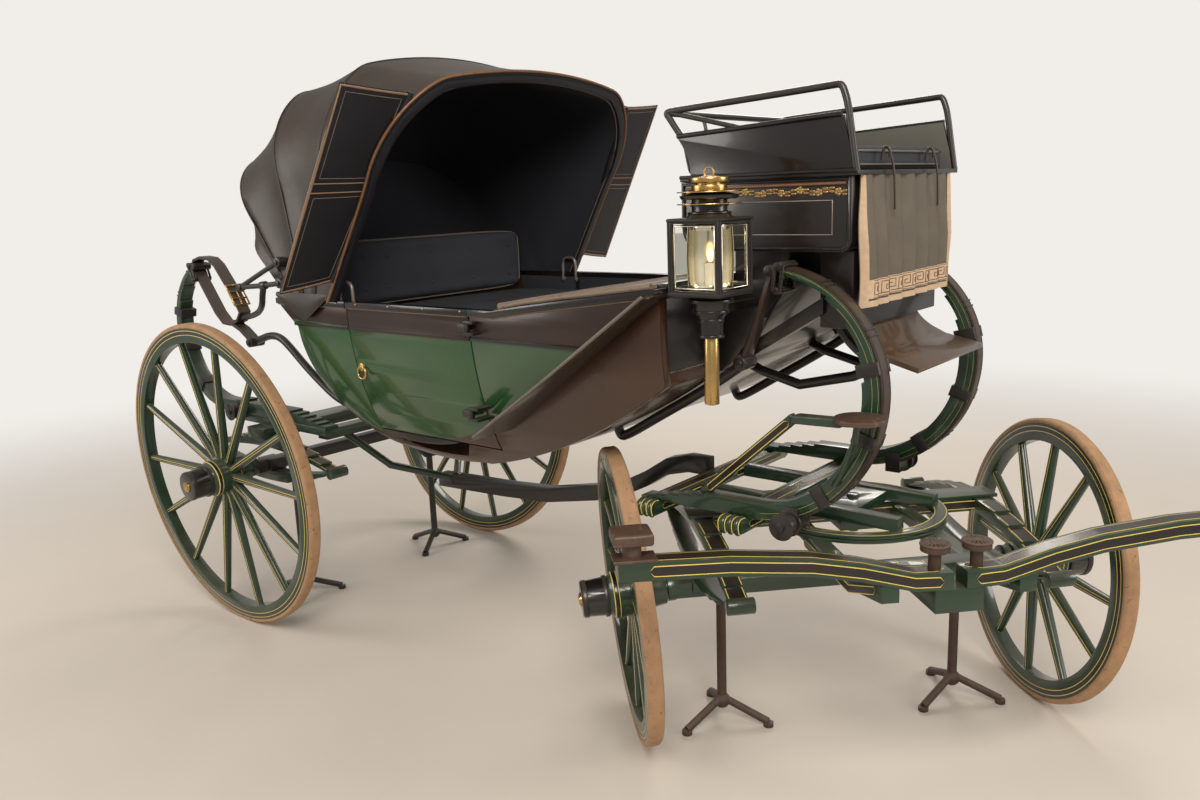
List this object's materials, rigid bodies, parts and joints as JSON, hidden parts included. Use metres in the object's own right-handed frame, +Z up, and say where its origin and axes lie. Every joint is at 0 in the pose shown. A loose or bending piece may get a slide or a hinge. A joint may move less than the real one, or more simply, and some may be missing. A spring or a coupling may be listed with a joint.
{
  "type": "horse drawn carriage",
  "caption": "Eight-spring open horse carriage with boat-shaped tub, raised leather hood, side doors, coachman seat with hammercloth, lanterns, perch and steering forecarriage on stands",
  "frame": {"origin": "middle of the bounding box, on the floor", "axes": "+X forward, +Y left, +Z up"},
  "size_m": [4.0524, 1.9365, 2.165],
  "materials": {
    "green_wood": "gloss",
    "green_steel": "gloss",
    "green_panel": "gloss",
    "black_iron": "gloss",
    "brown_panel": "gloss",
    "black_panel": "gloss",
    "brown_leather": "satin",
    "dusty_leather": "matte",
    "hood_leather": "satin",
    "patent_leather": "gloss",
    "grey_cloth": "matte",
    "hammer_cloth": "matte",
    "bow_wood": "satin",
    "black_metal": "gloss",
    "rusty_iron": "matte",
    "tan_tyre": "matte",
    "glass": "clear"
  },
  "bodies": {
    "root": {"perch": "green_wood", "rear_axle": "black_iron", "rear_bed": "green_wood", "rear_elliptic_springs": "green_steel", "rear_c_springs": "green_steel", "front_c_springs": "green_steel", "upper_fore_bed": "green_wood", "rear_braces": "brown_leather", "front_braces": "brown_leather", "rear_stands": "black_iron", "side_rear_quarters": "green_panel", "side_front_quarters": "green_panel", "tub_floor": "black_panel", "door_sills": "black_panel", "back_panel": "black_panel", "front_panel": "black_panel", "belt_rails": "black_panel", "rear_seat": "grey_cloth", "seat_back": "grey_cloth", "front_apron": "dusty_leather", "hood_shell": "hood_leather", "hood_bows": "bow_wood", "hood_wings": "hood_leather", "hood_joint_irons": "black_iron", "front_wings": "patent_leather", "boot_box": "black_panel", "seat_sides": "patent_leather", "seat_base": "black_panel", "seat_squab": "grey_cloth", "seat_cushion": "grey_cloth", "seat_rails": "black_iron", "hammercloth": "hammer_cloth", "footboard": "brown_leather", "footboard_irons": "black_iron", "lanterns": "black_metal", "lantern_glass": "glass", "body_irons": "black_iron", "coachman_step": "black_iron", "door_hinge_pins": "black_iron", "seat_box": "black_panel", "side_under_wings": "brown_panel", "spring_clips": "black_iron", "brace_windlasses": "black_iron"},
    "forecarriage": {"front_axle": "black_iron", "front_elliptic_springs": "green_steel", "lower_fore_bed": "green_wood", "splinter_bar": "green_wood", "roller_bolts": "rusty_iron", "front_stands": "black_iron"},
    "rear_wheel_assembly_right": {"rear_wheel_right": "green_wood", "rear_tyre_right": "tan_tyre"},
    "front_wheel_assembly_right": {"front_wheel_right": "green_wood", "front_tyre_right": "tan_tyre"},
    "door_right_leaf": {"door_right": "green_panel"},
    "rear_wheel_assembly_left": {"rear_wheel_left": "green_wood", "rear_tyre_left": "tan_tyre"},
    "front_wheel_assembly_left": {"front_wheel_left": "green_wood", "front_tyre_left": "tan_tyre"},
    "door_left_leaf": {"door_left": "green_panel"}
  },
  "joints": [
    {"name": "steer", "type": "hinge", "parent": "root", "child": "forecarriage", "pos_m": [0.97842, 0.08353, 0.78], "axis": [0, 0, 1], "range_deg": [-2.3, 89.7]},
    {"name": "rear_wheel_right_spin", "type": "hinge", "parent": "root", "child": "rear_wheel_assembly_right", "pos_m": [-1.37958, -0.61647, 0.61466], "axis": [0, 0.9977, 0.068], "continuous": true},
    {"name": "front_wheel_right_spin", "type": "hinge", "parent": "forecarriage", "child": "front_wheel_assembly_right", "pos_m": [0.4384, -0.33683, 0.45304], "axis": [0.6893, 0.7213, 0.068], "continuous": true},
    {"name": "door_right_hinge", "type": "hinge", "parent": "root", "child": "door_right_leaf", "pos_m": [0.02042, -0.55047, 1.1], "axis": [0, 0, 1], "range_deg": [0, 80]},
    {"name": "rear_wheel_left_spin", "type": "hinge", "parent": "root", "child": "rear_wheel_assembly_left", "pos_m": [-1.37958, 0.78353, 0.61466], "axis": [0, 0.9977, -0.068], "continuous": true},
    {"name": "front_wheel_left_spin", "type": "hinge", "parent": "forecarriage", "child": "front_wheel_assembly_left", "pos_m": [1.37385, 0.64207, 0.45304], "axis": [0.6893, 0.7213, -0.068], "continuous": true},
    {"name": "door_left_hinge", "type": "hinge", "parent": "root", "child": "door_left_leaf", "pos_m": [0.02042, 0.71753, 1.1], "axis": [0, 0, -1], "range_deg": [0, 80]}
  ]
}
